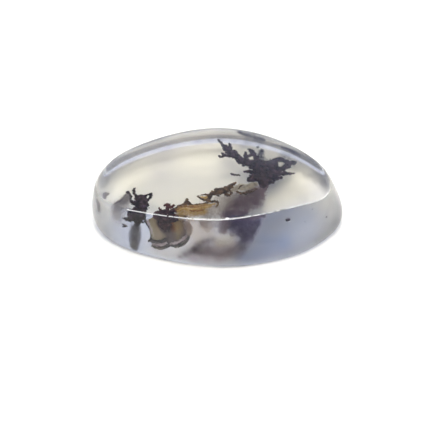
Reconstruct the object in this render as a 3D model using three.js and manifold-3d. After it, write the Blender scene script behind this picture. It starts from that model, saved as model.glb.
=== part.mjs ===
// Dendritic agate specimen: one loose, polished freeform cabochon that rests on its flat base.
// Millimetres, +Z up, X along the stone, -Y towards its crisp front edge.

import * as THREE from 'three';
import { ConvexGeometry } from 'three/addons/geometries/ConvexGeometry.js';
import { mergeVertices } from 'three/addons/utils/BufferGeometryUtils.js';
import Module from 'manifold-3d';

const wasm = await Module();
wasm.setup();

// Crown: the highest point of the table
const crownHeight = 6.6;
const crownX = 0;
const crownY = 0.8;

// Wall: how high it swells most, how far the swell stands past a station's own value,
// and how far the foot is tucked in under it
const swellHeight = 1.3;
const swellExtra = 0.35;
const footTuck = 1.1;

// Stations around the table's edge, anticlockwise from the right tip. Each gives the place and the
// height of the edge, the size of its rounding, and how far the wall below it swells outwards.
// The rounding is small along the front, where the edge is crisp, and soft at the rear and the ends.
const stations = [
  { x: 13.6, y: -0.7, height: 5.1, rounding: 0.45, swell: 2.5 },
  { x: 13.3, y: 3.3, height: 5.1, rounding: 0.7, swell: 1.3 },
  { x: 9.8, y: 6.9, height: 5.5, rounding: 0.8, swell: 1.0 },
  { x: 5.1, y: 9.2, height: 6.0, rounding: 0.8, swell: 1.0 },
  { x: 0.2, y: 10.0, height: 6.3, rounding: 0.8, swell: 1.0 },
  { x: -5.0, y: 9.0, height: 6.1, rounding: 0.8, swell: 1.0 },
  { x: -9.7, y: 7.0, height: 5.7, rounding: 0.8, swell: 1.0 },
  { x: -13.2, y: 4.6, height: 5.2, rounding: 0.9, swell: 0.9 },
  { x: -14.8, y: 0.4, height: 5.0, rounding: 1.2, swell: 0.7 },
  { x: -13.6, y: -3.8, height: 5.2, rounding: 1.2, swell: 1.2 },
  { x: -9.6, y: -5.8, height: 5.7, rounding: 0.3, swell: 1.9 },
  { x: -4.6, y: -7.6, height: 6.2, rounding: 0.22, swell: 1.9 },
  { x: 0.4, y: -8.5, height: 6.4, rounding: 0.22, swell: 2.0 },
  { x: 5.4, y: -7.0, height: 6.2, rounding: 0.22, swell: 2.8 },
  { x: 9.8, y: -4.8, height: 5.8, rounding: 0.22, swell: 3.1 },
  { x: 12.9, y: -3.1, height: 5.3, rounding: 0.25, swell: 1.8 },
];

// Growths seen through the clear stone. They reach the base, where they were ground off with the stone.
// A limb is a row of joints, each with its x, y, z and radius.
const blackTreeLimbs = {
  root: [[2.3, -5.3, -0.5, 1.0], [2.0, -5.1, 2.6, 1.2], [3.7, -3.2, 3.2, 1.1], [5.3, -0.8, 3.5, 0.8]],
  heart: [[5.3, -0.8, 3.5, 0.8], [5.3, 1.3, 3.8, 1.3], [4.7, 3.0, 4.1, 1.0]],
  leaf: [[4.7, 3.0, 4.1, 0.9], [3.0, 3.4, 4.4, 0.6], [1.8, 4.6, 4.6, 0.75], [0.8, 6.0, 4.6, 0.35]],
  leafTip: [[0.9, 5.8, 4.6, 0.35], [0.2, 7.3, 4.5, 0.15]],
  leafTwig: [[1.8, 4.3, 4.6, 0.4], [0.3, 4.2, 4.6, 0.18]],
  upright: [[3.4, 3.4, 4.4, 0.4], [3.3, 5.1, 4.4, 0.15]],
  horn: [[4.6, 3.4, 4.2, 0.6], [4.4, 4.6, 4.3, 0.35], [3.8, 5.8, 4.3, 0.2]],
  rightArm: [[5.4, 2.6, 3.8, 1.0], [6.8, 4.1, 3.3, 0.55], [8.1, 4.5, 2.7, 0.5], [9.1, 4.9, 2.2, 0.15]],
  returningTwig: [[8.1, 4.4, 2.7, 0.4], [7.6, 3.0, 3.0, 0.3], [6.3, 2.5, 3.5, 0.5]],
  blade: [[5.8, 1.9, 3.7, 0.8], [7.5, 2.0, 3.4, 0.35], [9.0, 2.2, 3.0, 0.12]],
  rightLobe: [[5.4, 0.9, 3.8, 1.1], [6.4, 0.8, 3.7, 0.7], [7.4, 1.0, 3.6, 0.2]],
  leftLobe: [[5.0, 0.8, 4.0, 1.0], [3.8, -0.2, 4.2, 0.25]],
  leftTwig: [[5.0, 1.3, 4.0, 0.6], [3.2, 1.4, 4.3, 0.15]],
  paleScallop: [[5.0, -1.2, 3.8, 0.5], [3.9, -1.4, 4.4, 0.6], [2.6, -1.9, 4.5, 0.35]],
  frontSmoke: [[2.1, -5.3, 3.3, 1.1], [0.9, -7.1, 4.4, 0.6]],
  lowSmoke: [[2.0, -5.6, 1.1, 1.0], [1.2, -7.8, 1.0, 0.8], [-1.5, -8.1, 1.0, 0.6]],
};
const leftTreeLimbs = {
  root: [[-9.4, -5.4, -0.5, 0.4], [-9.4, -6.0, 2.0, 0.55], [-9.1, -5.8, 3.9, 0.5], [-8.9, -5.2, 4.4, 0.8]],
  body: [[-8.9, -5.2, 4.4, 0.8], [-8.8, -4.2, 4.4, 0.95], [-8.9, -3.3, 4.4, 0.8]],
  tallKnob: [[-9.2, -3.3, 4.4, 0.35], [-9.8, -1.4, 4.4, 0.22]],
  leftKnob: [[-9.3, -4.3, 4.4, 0.4], [-10.2, -3.1, 4.5, 0.2], [-10.5, -1.9, 4.4, 0.22]],
  loop: [[-8.4, -3.3, 4.5, 0.4], [-7.8, -3.0, 4.7, 0.22]],
  thorn: [[-9.2, -5.6, 4.2, 0.6], [-10.2, -5.5, 4.1, 0.35], [-11.0, -5.3, 4.0, 0.12]],
  wing: [[-9.4, -4.2, 4.4, 0.4], [-11.2, -3.7, 4.4, 0.45], [-11.8, -4.4, 3.8, 0.3]],
};
const rosetteLimbs = {
  leftFan: [[-6.5, -4.5, -0.8, 1.4], [-6.4, -4.9, 1.6, 1.5], [-6.4, -5.2, 3.7, 1.2]],
  rightFan: [[-4.4, -4.8, -0.8, 1.4], [-4.3, -5.2, 1.6, 1.6], [-4.3, -5.4, 3.7, 1.3]],
  goldBand: [[-5.0, -5.4, 4.0, 0.8], [-3.7, -5.5, 4.7, 0.6], [-2.2, -5.6, 4.7, 0.6], [-0.8, -5.0, 4.8, 0.4]],
  plume: [[-0.9, -5.0, 4.8, 0.35], [-0.9, -3.6, 5.1, 0.35], [0.3, -2.5, 5.1, 0.55], [2.2, -1.0, 5.1, 0.15]],
  beak: [[-0.9, -4.1, 5.0, 0.4], [-2.4, -3.5, 5.1, 0.15]],
  spike: [[-3.5, -5.1, 4.9, 0.35], [-3.5, -4.0, 5.1, 0.15]],
  crown: [[-5.6, -5.4, 4.4, 0.5], [-5.7, -4.8, 5.0, 0.4]],
};

// How much larger than the growth its pocket in the stone is, from what radius a limb is rounder, and
// how far each limb is turned on from the one before, so that no two faces coincide
const pocketClearance = 0.35;
const stoutRadius = 1.15;
const limbTurn = 2.4;
const groundBlock = { side: 40, depth: 4 };

// Fineness of the solid
const sectionCount = 72;
const tableSteps = 6;
const roundingSteps = 4;
const wallSteps = 10;

// Blends the stations with a closed cubic B-spline, so that the outline has no kinks.
function stationAt(turn) {
  const place = (turn + 1) * stations.length;
  const nearest = Math.floor(place);
  const u = place - nearest;
  const weights = [
    (1 - u) ** 3,
    3 * u ** 3 - 6 * u ** 2 + 4,
    -3 * u ** 3 + 3 * u ** 2 + 3 * u + 1,
    u ** 3,
  ];
  const blend = { x: 0, y: 0, height: 0, rounding: 0, swell: 0 };
  weights.forEach((weight, i) => {
    const station = stations[(nearest + i - 1) % stations.length];
    for (const key of Object.keys(blend)) {
      blend[key] += (weight / 6) * station[key];
    }
  });
  return blend;
}

// The stone's outline from the crown over the edge and down the wall to the foot.
function sectionAt(turn) {
  const aside = 1 / sectionCount / 4;
  const edge = stationAt(turn);
  const before = stationAt(turn - aside);
  const after = stationAt(turn + aside);
  const outward = new THREE.Vector2(after.y - before.y, before.x - after.x).normalize();
  const beyondEdge = (offset, height) =>
    new THREE.Vector3(edge.x + outward.x * offset, edge.y + outward.y * offset, height);

  const corner = beyondEdge(0, edge.height);
  const swell = beyondEdge(edge.swell + swellExtra, swellHeight);
  const foot = beyondEdge(edge.swell - footTuck, 0);
  const wall = new THREE.QuadraticBezierCurve3(corner, swell, foot);
  const tablePoint = (share) =>
    new THREE.Vector3(
      THREE.MathUtils.lerp(crownX, edge.x, share),
      THREE.MathUtils.lerp(crownY, edge.y, share),
      edge.height + (crownHeight - edge.height) * (1 - share ** 2)
    );

  const tableReach = Math.hypot(edge.x - crownX, edge.y - crownY);
  const tableEnd = 1 - edge.rounding / tableReach;
  const wallStart = edge.rounding / (2 * swell.distanceTo(corner));
  const rounding = new THREE.QuadraticBezierCurve3(
    tablePoint(tableEnd),
    corner,
    wall.getPoint(wallStart)
  );

  const points = [];
  for (let i = 1; i < tableSteps; i += 1) {
    points.push(tablePoint((tableEnd * i) / tableSteps));
  }
  points.push(...rounding.getPoints(roundingSteps));
  for (let i = 1; i <= wallSteps; i += 1) {
    points.push(wall.getPoint(THREE.MathUtils.lerp(wallStart, 1, i / wallSteps)));
  }
  return points;
}

// Joins the sections into one closed skin, with a fan at the crown and a flat fan for the base.
function stoneGeometry() {
  const sections = [];
  for (let i = 0; i < sectionCount; i += 1) {
    sections.push(sectionAt(i / sectionCount));
  }
  const ringCount = sections[0].length;
  const points = sections.flat();
  const crown = points.push(new THREE.Vector3(crownX, crownY, crownHeight)) - 1;
  const base = points.push(new THREE.Vector3(crownX, crownY, 0)) - 1;

  const index = [];
  for (let i = 0; i < sectionCount; i += 1) {
    const here = i * ringCount;
    const next = ((i + 1) % sectionCount) * ringCount;
    index.push(crown, here, next);
    index.push(base, next + ringCount - 1, here + ringCount - 1);
    for (let j = 0; j < ringCount - 1; j += 1) {
      index.push(here + j, here + j + 1, next + j + 1);
      index.push(here + j, next + j + 1, next + j);
    }
  }

  const geometry = new THREE.BufferGeometry().setFromPoints(points);
  geometry.setIndex(index);
  geometry.computeBoundingBox();
  const middle = geometry.boundingBox.getCenter(new THREE.Vector3());
  geometry.translate(-middle.x, -middle.y, 0);
  return geometry;
}

// Turns a closed geometry into a solid that can be joined and cut, and back.
function solidOf(geometry) {
  geometry.deleteAttribute('normal');
  geometry.deleteAttribute('uv');
  const merged = mergeVertices(geometry);
  return new wasm.Manifold(
    new wasm.Mesh({
      numProp: 3,
      vertProperties: new Float32Array(merged.attributes.position.array),
      triVerts: new Uint32Array(merged.index.array),
    })
  );
}

function geometryOf(solid) {
  const mesh = solid.getMesh();
  const geometry = new THREE.BufferGeometry();
  geometry.setAttribute('position', new THREE.BufferAttribute(mesh.vertProperties, 3));
  geometry.setIndex(new THREE.BufferAttribute(mesh.triVerts, 1));
  geometry.computeVertexNormals();
  return geometry;
}

// The corners of the small crystal that ends a limb. A stout limb ends in a rounder one.
function crystalCorners([x, y, z, radius], clearance, turn) {
  const Crystal = radius < stoutRadius ? THREE.OctahedronGeometry : THREE.IcosahedronGeometry;
  const crystal = new Crystal(radius + clearance);
  crystal.rotateX(turn);
  crystal.rotateZ(turn);
  crystal.translate(x, y, z);
  const places = crystal.attributes.position;
  return Array.from({ length: places.count }, (_, i) => new THREE.Vector3().fromBufferAttribute(places, i));
}

// Joins the limbs of a growth. Between two joints a limb is the tightest skin round their crystals.
function growthSolid(limbs, clearance) {
  let growth = null;
  let turn = 0;
  for (const joints of Object.values(limbs)) {
    for (let i = 1; i < joints.length; i += 1) {
      turn += limbTurn;
      const ends = [joints[i - 1], joints[i]].flatMap((joint) => crystalCorners(joint, clearance, turn));
      const limb = solidOf(new ConvexGeometry(ends));
      growth = growth === null ? limb : growth.add(limb);
    }
  }
  return growth;
}

// Everything below the ground base
function groundSolid() {
  const block = new THREE.BoxGeometry(groundBlock.side, groundBlock.side, groundBlock.depth);
  block.translate(0, 0, -groundBlock.depth / 2);
  return solidOf(block);
}

// Polished chalcedony: pale blue-grey, and see-through like thin milk
const agateMaterial = new THREE.MeshStandardMaterial({
  color: 0xd3d6dc,
  roughness: 0.06,
  metalness: 0,
  transparent: true,
  opacity: 0.6,
});

// Oxide of manganese, near black, and the banded rosette with its gold and brown moss
const oxideMaterial = new THREE.MeshStandardMaterial({ color: 0x2c2a33, roughness: 0.6, metalness: 0 });
const rosetteMaterial = new THREE.MeshStandardMaterial({ color: 0x6f5f48, roughness: 0.6, metalness: 0 });

const growths = [
  { name: 'black_tree', limbs: blackTreeLimbs, material: oxideMaterial },
  { name: 'left_tree', limbs: leftTreeLimbs, material: oxideMaterial },
  { name: 'rosette', limbs: rosetteLimbs, material: rosetteMaterial },
];

const specimen = new THREE.Group();
const ground = groundSolid();
let stone = solidOf(stoneGeometry());
for (const { name, limbs, material } of growths) {
  stone = stone.subtract(growthSolid(limbs, pocketClearance));
  const growth = new THREE.Mesh(geometryOf(growthSolid(limbs, 0).subtract(ground)), material);
  growth.name = name;
  specimen.add(growth);
}

const agate = new THREE.Mesh(geometryOf(stone), agateMaterial);
agate.name = 'agate';
specimen.add(agate);

export default specimen;
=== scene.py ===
# %% [markdown]
# # A dendritic agate cabochon, dressed in Blender
#
# The stone is a freeform cabochon about 30 mm long: a low domed table with a crisp edge along the
# front, a softly rounded rear edge, and a wall that swells outwards before it tucks in to a flat base.
# It is clear enough to look into, so most of the work is inside: black trees, brown moss, a banded
# rosette and clouds of smoke.
#
# The CAD solid comes first and fixes the size. Everything here is fitted to it.

# %% Load the CAD frame
import math

import bmesh
import bpy
import numpy as np
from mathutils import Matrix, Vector
from mathutils.bvhtree import BVHTree


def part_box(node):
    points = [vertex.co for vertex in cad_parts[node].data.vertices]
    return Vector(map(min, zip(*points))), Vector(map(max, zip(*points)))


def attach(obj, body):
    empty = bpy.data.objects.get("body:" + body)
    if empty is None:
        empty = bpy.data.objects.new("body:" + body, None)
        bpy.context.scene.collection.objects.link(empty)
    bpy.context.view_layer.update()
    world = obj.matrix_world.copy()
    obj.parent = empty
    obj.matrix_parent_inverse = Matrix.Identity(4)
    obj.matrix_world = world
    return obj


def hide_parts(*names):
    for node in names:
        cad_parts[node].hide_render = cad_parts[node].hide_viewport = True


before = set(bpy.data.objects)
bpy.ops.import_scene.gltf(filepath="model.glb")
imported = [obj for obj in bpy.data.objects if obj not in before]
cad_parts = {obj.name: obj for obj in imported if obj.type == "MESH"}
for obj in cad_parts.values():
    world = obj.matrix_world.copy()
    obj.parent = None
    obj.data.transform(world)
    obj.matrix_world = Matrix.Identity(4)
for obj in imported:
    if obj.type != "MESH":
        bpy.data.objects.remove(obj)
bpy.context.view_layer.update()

MM = 0.001

# %% [markdown]
# ## The camera
#
# The picture was taken from a little way off, about 40 degrees above the paper, square on to the long
# side. A long lens from 300 mm keeps the ends of the stone from looking stretched. The lens follows
# from how wide a strip of the scene fills the picture. The camera is slid in its own plane, not
# turned, so that the stone sits above the middle of the picture as it does in the photo.

# %% Camera
CAMERA_ELEVATION = math.radians(40)
CAMERA_DISTANCE = 300 * MM
SENSOR_WIDTH = 36
CLIP_RANGE = (0.01, 20)
PICTURE_SIDE = 430
PICTURE_WIDTH = 51.3 * MM
LOOK_AT = Vector((0, 0, 3 * MM))
LOOK_AT_PIXEL = (217.3, 195.4)

view_back = Vector((0, -math.cos(CAMERA_ELEVATION), math.sin(CAMERA_ELEVATION)))
view_right = Vector((1, 0, 0))
view_up = Vector((0, math.sin(CAMERA_ELEVATION), math.cos(CAMERA_ELEVATION)))
pixel = PICTURE_WIDTH / PICTURE_SIDE
slide = view_right * (PICTURE_SIDE / 2 - LOOK_AT_PIXEL[0]) - view_up * (PICTURE_SIDE / 2 - LOOK_AT_PIXEL[1])

camera_data = bpy.data.cameras.new("camera")
camera_data.sensor_width = SENSOR_WIDTH
camera_data.lens = camera_data.sensor_width * CAMERA_DISTANCE / PICTURE_WIDTH
camera_data.clip_start, camera_data.clip_end = CLIP_RANGE
camera = bpy.data.objects.new("camera", camera_data)
camera.location = LOOK_AT + view_back * CAMERA_DISTANCE + slide * pixel
camera.rotation_euler = (-view_back).to_track_quat("-Z", "Y").to_euler()
bpy.context.scene.collection.objects.link(camera)
bpy.context.scene.camera = camera
print("lens in mm:", round(camera_data.lens, 1))

# %% [markdown]
# ## The shape of the stone
#
# The polished outline has no kinks, so it is a closed cubic B-spline through a few stations around
# the table's edge. Each station says where the edge is, how high it stands, how softly it is rounded
# and how far the wall below it swells out. These are the values of the CAD solid, repeated here so
# that the same formula can be sampled more finely: reflections on polish show every facet.

# %% Stations around the edge
CROWN = (0.0, 0.8, 6.6)
SWELL_HEIGHT = 1.3
SWELL_EXTRA = 0.35
FOOT_TUCK = 1.1

# x, y, height, rounding and swell of each station, in mm, anticlockwise from the right tip
STATIONS = np.array([
    (13.6, -0.7, 5.1, 0.45, 2.5),
    (13.3, 3.3, 5.1, 0.7, 1.3),
    (9.8, 6.9, 5.5, 0.8, 1.0),
    (5.1, 9.2, 6.0, 0.8, 1.0),
    (0.2, 10.0, 6.3, 0.8, 1.0),
    (-5.0, 9.0, 6.1, 0.8, 1.0),
    (-9.7, 7.0, 5.7, 0.8, 1.0),
    (-13.2, 4.6, 5.2, 0.9, 0.9),
    (-14.8, 0.4, 5.0, 1.2, 0.7),
    (-13.6, -3.8, 5.2, 1.2, 1.2),
    (-9.6, -5.8, 5.7, 0.3, 1.9),
    (-4.6, -7.6, 6.2, 0.22, 1.9),
    (0.4, -8.5, 6.4, 0.22, 2.0),
    (5.4, -7.0, 6.2, 0.22, 2.8),
    (9.8, -4.8, 5.8, 0.22, 3.1),
    (12.9, -3.1, 5.3, 0.25, 1.8),
])


def station_at(turn):
    """The blended station at a share of the way round."""
    place = (turn % 1) * len(STATIONS)
    nearest = int(place)
    u = place - nearest
    weights = ((1 - u) ** 3, 3 * u**3 - 6 * u**2 + 4, -3 * u**3 + 3 * u**2 + 3 * u + 1, u**3)
    near = [STATIONS[(nearest + i - 1) % len(STATIONS)] for i in range(len(weights))]
    return sum(weight * station for weight, station in zip(weights, near)) / 6


def bend(start, middle, end, share):
    """A point on the quadratic curve that leaves start and reaches end, both aimed at middle."""
    return (1 - share) ** 2 * start + 2 * share * (1 - share) * middle + share**2 * end


print("stations:", len(STATIONS))

# %% [markdown]
# ## One section of the stone
#
# A cut from the crown down to the foot has three stretches: the low dome of the table, the rounding
# of the edge, and the wall, which bends out and in again. The stone could be modelled by hand and
# subdivided, but then it would drift from the CAD. Sections by formula stay on it.

# %% One section, from the crown to the foot
SECTION_COUNT = 480
TABLE_STEPS = 48
ROUNDING_STEPS = 12
WALL_STEPS = 48
# How far aside the direction of the edge is taken, as a share of a section
ASIDE = 0.25


def section_at(turn):
    """The places from the crown's side to the foot at a share of the way round, in mm."""
    aside = ASIDE / SECTION_COUNT
    x, y, height, rounding, swell = station_at(turn)
    along = (station_at(turn + aside) - station_at(turn - aside))[:2]
    outward = np.array((along[1], -along[0], 0)) / np.linalg.norm(along)
    crown = np.array(CROWN)
    corner = np.array((x, y, height))
    ground = np.array((x, y, 0))
    swollen = ground + outward * (swell + SWELL_EXTRA) + (0, 0, SWELL_HEIGHT)
    foot = ground + outward * (swell - FOOT_TUCK)

    def table_point(share):
        point = crown + (corner - crown) * share
        point[2] = height + (crown[2] - height) * (1 - share**2)
        return point

    table_end = 1 - rounding / np.linalg.norm((corner - crown)[:2])
    wall_start = rounding / (2 * np.linalg.norm(swollen - corner))
    rim = table_point(table_end)
    wall_top = bend(corner, swollen, foot, wall_start)
    table = [table_point(table_end * i / TABLE_STEPS) for i in range(1, TABLE_STEPS)]
    edge = [bend(rim, corner, wall_top, i / ROUNDING_STEPS) for i in range(ROUNDING_STEPS + 1)]
    wall_shares = wall_start + (1 - wall_start) * np.arange(1, WALL_STEPS + 1) / WALL_STEPS
    wall = [bend(corner, swollen, foot, share) for share in wall_shares]
    return np.array(table + edge + wall)


sections = np.array([section_at(i / SECTION_COUNT) for i in range(SECTION_COUNT)])
ring_count = sections.shape[1]
print("sections:", SECTION_COUNT, "with places:", ring_count)


# %% Join the sections into the stone
def make_piece(name, vertices, faces):
    """A new smooth object at the origin, with its place in its mesh. Vertices are in metres."""
    mesh = bpy.data.meshes.new(name)
    mesh.from_pydata(vertices, [], faces)
    mesh.shade_smooth()
    piece = bpy.data.objects.new(name, mesh)
    bpy.context.scene.collection.objects.link(piece)
    return piece


points = np.vstack([sections.reshape(-1, 3), [CROWN, (CROWN[0], CROWN[1], 0)]])
crown_index = len(points) - 2
base_index = len(points) - 1

faces = []
for i in range(SECTION_COUNT):
    here = i * ring_count
    after = (i + 1) % SECTION_COUNT * ring_count
    faces.append((crown_index, here, after))
    faces.append((base_index, after + ring_count - 1, here + ring_count - 1))
    for j in range(ring_count - 1):
        faces.append((here + j, here + j + 1, after + j + 1, after + j))

# The finer skin bulges past the CAD facets by a hair, so it is fitted to the CAD box.
low, high = (np.array(corner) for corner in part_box("agate"))
own_low, own_high = points.min(axis=0), points.max(axis=0)
skin = low + (points - own_low) / (own_high - own_low) * (high - low)
stone = make_piece("agate_body", skin.tolist(), faces)
# The base is ground flat, so it is shaded flat: a smoothed base would bend light like a lens.
for polygon in stone.data.polygons:
    polygon.use_smooth = base_index not in polygon.vertices
print("stone triangles:", 2 * SECTION_COUNT * ring_count, "size in mm:", (high - low) / MM)

# %% Where the rind is
# Share of the way from the crown to the rim at which the rind begins, and how steeply it rises
RIND_START = 0.78
RIND_RISE = 1.5

# The rind is 0 in the middle of the table and 1 from its rim down. The base has none.
table_shares = np.arange(1, TABLE_STEPS) / TABLE_STEPS
rind = np.concatenate([table_shares, np.ones(ROUNDING_STEPS + 1 + WALL_STEPS)])
rind = np.clip((rind - RIND_START) / (1 - RIND_START), 0, 1) ** RIND_RISE
rind[-1] = 0
rind = np.concatenate([np.tile(rind, SECTION_COUNT), (0, 0)])
stone.data.attributes.new("rind", "FLOAT", "POINT").data.foreach_set("value", rind)
print("share of corners in the rind:", round(float((rind > 0).mean()), 2))

# %% [markdown]
# ## Nodes with less typing
#
# Materials, the sky and the growths are all trees of nodes. One helper adds a node and wires it up,
# and the others give the result of a sum, a mix or a ramp.

# %% Helpers for nodes
def add(tree, kind, settings=None, inputs=None):
    """A new node. An input is set where a value is given, and linked where a socket is given."""
    node = tree.nodes.new(kind)
    for name, value in (settings or {}).items():
        setattr(node, name, value)
    for name, value in (inputs or {}).items():
        if isinstance(value, bpy.types.NodeSocket):
            tree.links.new(value, node.inputs[name])
        else:
            node.inputs[name].default_value = value
    return node


def calc(tree, operation, *values):
    """The result of a sum on numbers."""
    return add(tree, "ShaderNodeMath", {"operation": operation}, dict(enumerate(values))).outputs[0]


def calc_vector(tree, operation, vector, other=None):
    """The result of a sum on vectors. SCALE takes a number as the other, and DOT_PRODUCT gives one."""
    inputs = {0: vector}
    if other is not None:
        inputs["Scale" if operation == "SCALE" else 1] = other
    node = add(tree, "ShaderNodeVectorMath", {"operation": operation}, inputs)
    return node.outputs["Value" if operation == "DOT_PRODUCT" else "Vector"]


def smooth_step(tree, value, low, high):
    """0 below low, 1 above high, and a soft rise between them."""
    return add(tree, "ShaderNodeMapRange", {"interpolation_type": "SMOOTHSTEP"}, {
        "Value": value, "From Min": low, "From Max": high}).outputs["Result"]


def mix_colours(tree, share, first, second, blend_type="MIX"):
    """The first colour at share 0 and the second at share 1, or their blend of another type."""
    return add(tree, "ShaderNodeMix", {"data_type": "RGBA", "blend_type": blend_type}, {
        "Factor": share, 6: first, 7: second}).outputs[2]


def add_ramp(tree, share, steps):
    """A colour ramp through (position, colour) steps, read at a share."""
    ramp = add(tree, "ShaderNodeValToRGB", inputs={"Fac": share})
    elements = ramp.color_ramp.elements
    elements.remove(elements[1])
    for i, (position, colour) in enumerate(steps):
        element = elements[0] if i == 0 else elements.new(position)
        element.position = position
        element.color = (*colour, 1)
    return ramp.outputs["Color"]


def new_material(name, values):
    """A material, its tree and its shader, with plain values set on the shader's own sockets."""
    material = bpy.data.materials.new(name)
    material.use_nodes = True
    shader = material.node_tree.nodes["Principled BSDF"]
    for label, value in values.items():
        shader.inputs[label].default_value = value
    return material, material.node_tree, shader


# %% [markdown]
# ## Paper and light
#
# The stone lies on plain white paper, in a bluish room that is darker in front. Two soft boxes hang
# high above it, one a little behind and one a little in front. The polished table mirrors what is
# about 40 degrees up behind the stone, so the sky is darkest there, and the table stays clear.
#
# Lamps could do this too, but it is all one sky here, because a sky also lights the paper under the
# stone through the stone. That gives the table its warm glow.

# %% Floor
FLOOR_RADIUS = 3
FLOOR_GAP = 0.04 * MM
FLOOR_CORNERS = 64
turns = [math.tau * i / FLOOR_CORNERS for i in range(FLOOR_CORNERS)]
floor_points = [(FLOOR_RADIUS * math.cos(turn), FLOOR_RADIUS * math.sin(turn), -FLOOR_GAP) for turn in turns]
floor = make_piece("floor", floor_points, [tuple(range(FLOOR_CORNERS))])
paper, _, _ = new_material("white_paper", {
    "Base Color": (0.9, 0.9, 0.9, 1), "Roughness": 0.9, "Specular IOR Level": 0.1})
floor.data.materials.append(paper)
print("floor, metres across:", 2 * FLOOR_RADIUS)

# %% Sky
# Elevation in degrees, and the colour there
SKY = (
    (0, (1.5, 1.5, 1.5)),
    (8, (1.5, 1.53, 1.65)),
    (14, (1.15, 1.27, 1.6)),
    (28, (1.0, 1.12, 1.55)),
    (36, (0.5, 0.56, 0.78)),
    (42, (0.3, 0.33, 0.45)),
    (55, (0.35, 0.38, 0.45)),
    (90, (0.6, 0.62, 0.65)),
)
# Elevation, turn to the left of straight behind, radius and colour of each softbox, the angles in degrees
SOFTBOXES = (
    (71, 0, 16, (6.1, 5.9, 5.15, 1)),
    (63, 180, 25, (5.1, 4.9, 4.35, 1)),
)
SOFTBOX_EDGE = 2
# The room is dimmed in front. Its light fades between these parts of the way from the front to the back.
FRONT_DIMMING = 0.5
DIMMED_BELOW = -0.9
FULL_ABOVE = 0.1

world = bpy.data.worlds.new("studio")
bpy.context.scene.world = world
world.use_nodes = True
sky = world.node_tree
direction = add(sky, "ShaderNodeTexCoord").outputs["Generated"]
parts = add(sky, "ShaderNodeSeparateXYZ", inputs={"Vector": direction}).outputs
elevation_share = calc(sky, "DIVIDE", calc(sky, "ARCSINE", parts["Z"]), math.pi / 2)
room = add_ramp(sky, elevation_share, [(angle / 90, colour) for angle, colour in SKY])
dimming = add(sky, "ShaderNodeMapRange", inputs={
    "Value": parts["Y"], "From Min": DIMMED_BELOW, "From Max": FULL_ABOVE,
    "To Min": FRONT_DIMMING, "To Max": 1.0})
lit = calc_vector(sky, "SCALE", room, dimming.outputs["Result"])

for box_elevation, box_left, box_radius, box_colour in SOFTBOXES:
    up, left = math.radians(box_elevation), math.radians(box_left)
    box_aim = Vector((-math.cos(up) * math.sin(left), math.cos(up) * math.cos(left), math.sin(up)))
    inner, outer = (math.cos(math.radians(box_radius + side * SOFTBOX_EDGE)) for side in (-1, 1))
    inside_box = smooth_step(sky, calc_vector(sky, "DOT_PRODUCT", direction, box_aim), outer, inner)
    lit = mix_colours(sky, inside_box, lit, box_colour)
sky.links.new(lit, sky.nodes["Background"].inputs["Color"])

bpy.context.scene.view_settings.view_transform = "Standard"
bpy.context.scene.cycles.blur_glossy = 0
print("softboxes:", len(SOFTBOXES))

# %% [markdown]
# ## Agate
#
# Chalcedony is clear quartz full of tiny fibres. The middle lets warm light through. The rind, at the
# rims and down the wall, is bluer. The top and the wall are polished. The base was only ground flat,
# so it scatters light, and that is what makes the wall look milky.

# %% Agate
IOR = 1.54
POLISH = 0.13
GRIND = 0.5
BASE_LEVEL = 0.01 * MM
CORE_TINT = (1, 0.99, 0.96, 1)
RIND_TINT = (0.86, 0.89, 1.0, 1)
# The colour that light turns to on its way through the stone, and how fast it turns, per metre
DEPTH_TINT = (0.87, 0.86, 0.82, 1)
DEPTH_DENSITY = 120

agate, agate_tree, agate_shader = new_material("agate", {"IOR": IOR, "Transmission Weight": 1})
rind_share = add(agate_tree, "ShaderNodeAttribute", {"attribute_name": "rind"}).outputs["Fac"]
stain_and_shade_colour = add(agate_tree, "ShaderNodeAttribute", {"attribute_name": "stain_and_shade"}).outputs["Color"]
tint = mix_colours(agate_tree, rind_share, CORE_TINT, RIND_TINT)
stained_and_shaded = mix_colours(agate_tree, 1.0, tint, stain_and_shade_colour, "MULTIPLY")
agate_tree.links.new(stained_and_shaded, agate_shader.inputs["Base Color"])

place = add(agate_tree, "ShaderNodeTexCoord").outputs["Object"]
level = add(agate_tree, "ShaderNodeSeparateXYZ", inputs={"Vector": place}).outputs["Z"]
on_base = calc(agate_tree, "LESS_THAN", level, BASE_LEVEL)
finish = add(agate_tree, "ShaderNodeMix", {"data_type": "FLOAT"}, {"Factor": on_base, 2: POLISH, 3: GRIND})
agate_tree.links.new(finish.outputs[0], agate_shader.inputs["Roughness"])
absorb = add(agate_tree, "ShaderNodeVolumeAbsorption", inputs={"Color": DEPTH_TINT, "Density": DEPTH_DENSITY})
agate_tree.links.new(absorb.outputs["Volume"], agate_tree.nodes["Material Output"].inputs["Volume"])
stone.data.materials.append(agate)
print("agate: index of refraction", IOR, "and roughness", POLISH)

# %% [markdown]
# ## Looking into the stone
#
# The photo shows where each inclusion appears, and its blur hints at its depth. To place one, a line
# of sight goes out through a spot of the picture, bends at the polished surface by the law of
# refraction, and runs on for so many millimetres. What is placed this way shows up at that spot, and
# shows up rightly from other sides too, because it has a real depth.

# %% A spot of the picture and a depth give a place inside
# Clear stone left between a lump and the skin, in mm
SKIN_MARGIN = 0.12
skin_tree = BVHTree.FromPolygons([Vector(point) for point in skin], faces)


def seen(across, down, run):
    """The place that shows at a spot of the picture, run mm inside the stone along the sight line."""
    aim = view_right * (across - PICTURE_SIDE / 2) + view_up * (PICTURE_SIDE / 2 - down)
    sight = (aim * pixel - view_back * CAMERA_DISTANCE).normalized()
    entry, normal, _, _ = skin_tree.ray_cast(camera.location, sight)
    if entry is None:
        raise ValueError(f"the sight line through {across}, {down} misses the stone")
    cosine = -sight.dot(normal)
    inner_cosine = math.sqrt(1 - (1 - cosine**2) / IOR**2)
    inner_sight = sight / IOR + normal * (cosine / IOR - inner_cosine)
    return entry + inner_sight * run * MM


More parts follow.
